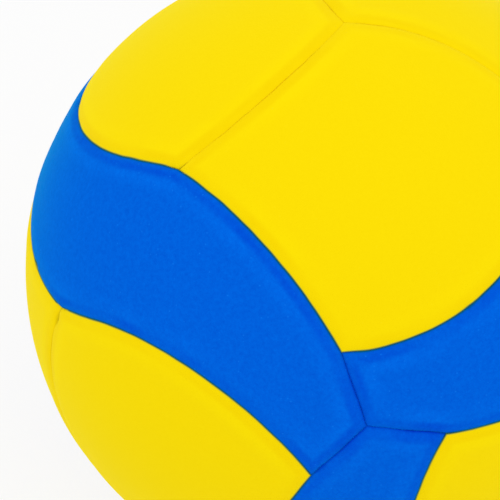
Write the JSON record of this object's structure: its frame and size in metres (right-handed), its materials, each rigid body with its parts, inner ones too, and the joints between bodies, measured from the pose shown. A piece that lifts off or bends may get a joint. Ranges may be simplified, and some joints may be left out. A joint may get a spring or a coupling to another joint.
{
  "type": "volleyball",
  "caption": "Inflatable ball sewn from curved foam panels, blue S-shaped bands between yellow panels, with a bladder and needle valve.",
  "frame": {"origin": "the ball's centre", "axes": "+Z through a corner where three yellow panels meet; +Y towards the band with the valve, seen from above"},
  "size_m": [0.21, 0.21, 0.21],
  "materials": {
    "foam_blue": "soft matte foam skin",
    "foam_yellow": "soft matte foam skin",
    "thread": "sewing thread",
    "bladder_rubber": "matte rubber",
    "valve_rubber": "matte rubber",
    "valve_core_rubber": "matte rubber"
  },
  "bodies": {
    "root": {"blue_panel_1": "foam_blue", "blue_panel_2": "foam_blue", "blue_panel_3": "foam_blue", "blue_panel_4": "foam_blue", "blue_panel_5": "foam_blue", "blue_panel_6": "foam_blue", "yellow_panel_1a": "foam_yellow", "yellow_panel_1b": "foam_yellow", "yellow_panel_2a": "foam_yellow", "yellow_panel_2b": "foam_yellow", "yellow_panel_3a": "foam_yellow", "yellow_panel_3b": "foam_yellow", "yellow_panel_4a": "foam_yellow", "yellow_panel_4b": "foam_yellow", "yellow_panel_5a": "foam_yellow", "yellow_panel_5b": "foam_yellow", "yellow_panel_6a": "foam_yellow", "yellow_panel_6b": "foam_yellow", "seam_thread": "thread", "bladder": "bladder_rubber", "valve_boot": "valve_rubber", "valve_core": "valve_core_rubber"}
  },
  "joints": []
}
